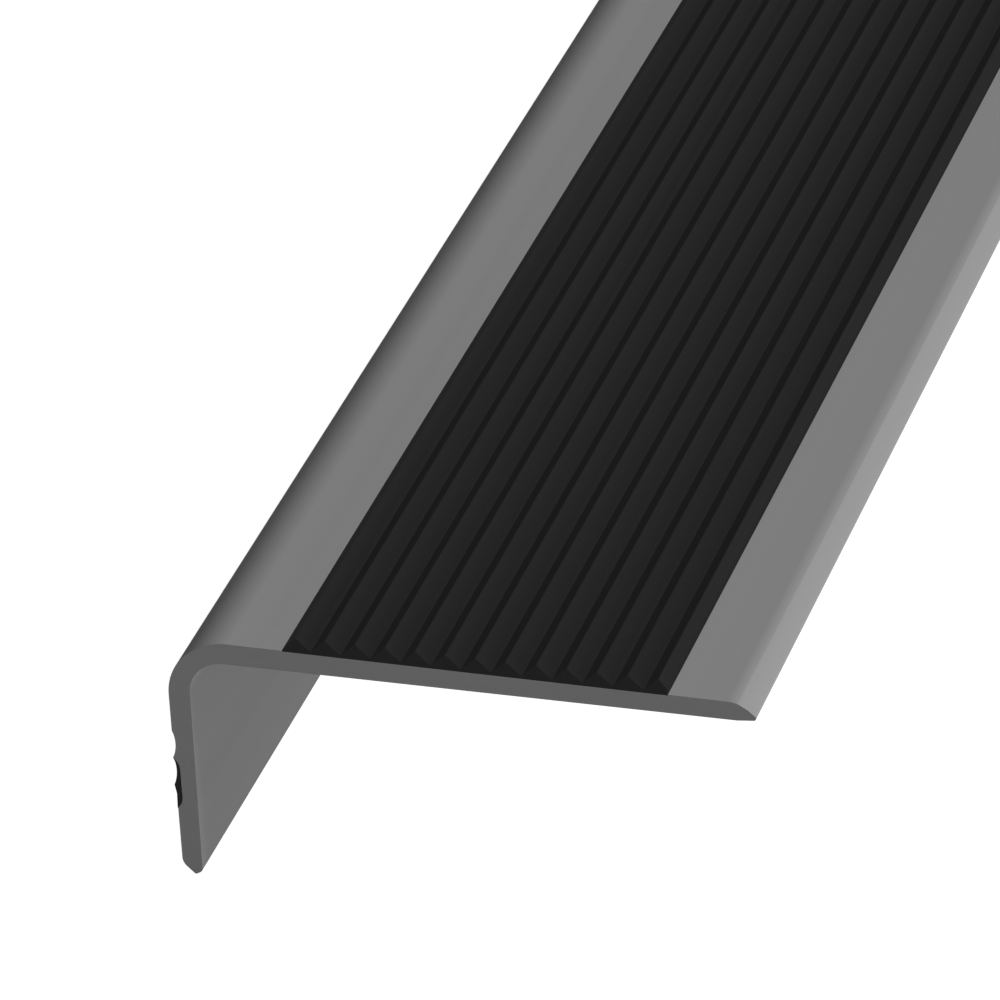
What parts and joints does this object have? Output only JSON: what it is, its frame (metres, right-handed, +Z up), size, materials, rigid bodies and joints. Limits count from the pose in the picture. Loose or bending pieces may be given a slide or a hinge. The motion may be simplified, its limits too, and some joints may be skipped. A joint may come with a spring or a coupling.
{
  "type": "stair nosing",
  "caption": "L-shaped stair edge profile: rigid extruded angle with a rounded nose, a ribbed anti-slip strip on the tread flange and a slim strip in the riser face.",
  "frame": {"origin": "on the floor, under the middle of the profile as it lies on its foot and its back edge", "axes": "+Y along the length, away from the end that the picture shows; +X from the riser face towards the back edge of the tread; +Z up"},
  "size_m": [0.0538, 1, 0.0196],
  "materials": {
    "rigid_pvc_grey": "satin extruded rigid PVC, mid grey",
    "soft_pvc_tread_black": "matte extruded flexible PVC, black",
    "soft_pvc_riser_black": "matte extruded flexible PVC, black"
  },
  "bodies": {
    "root": {"nosing_profile": "rigid_pvc_grey", "tread_strip": "soft_pvc_tread_black", "riser_strip": "soft_pvc_riser_black"}
  },
  "joints": []
}
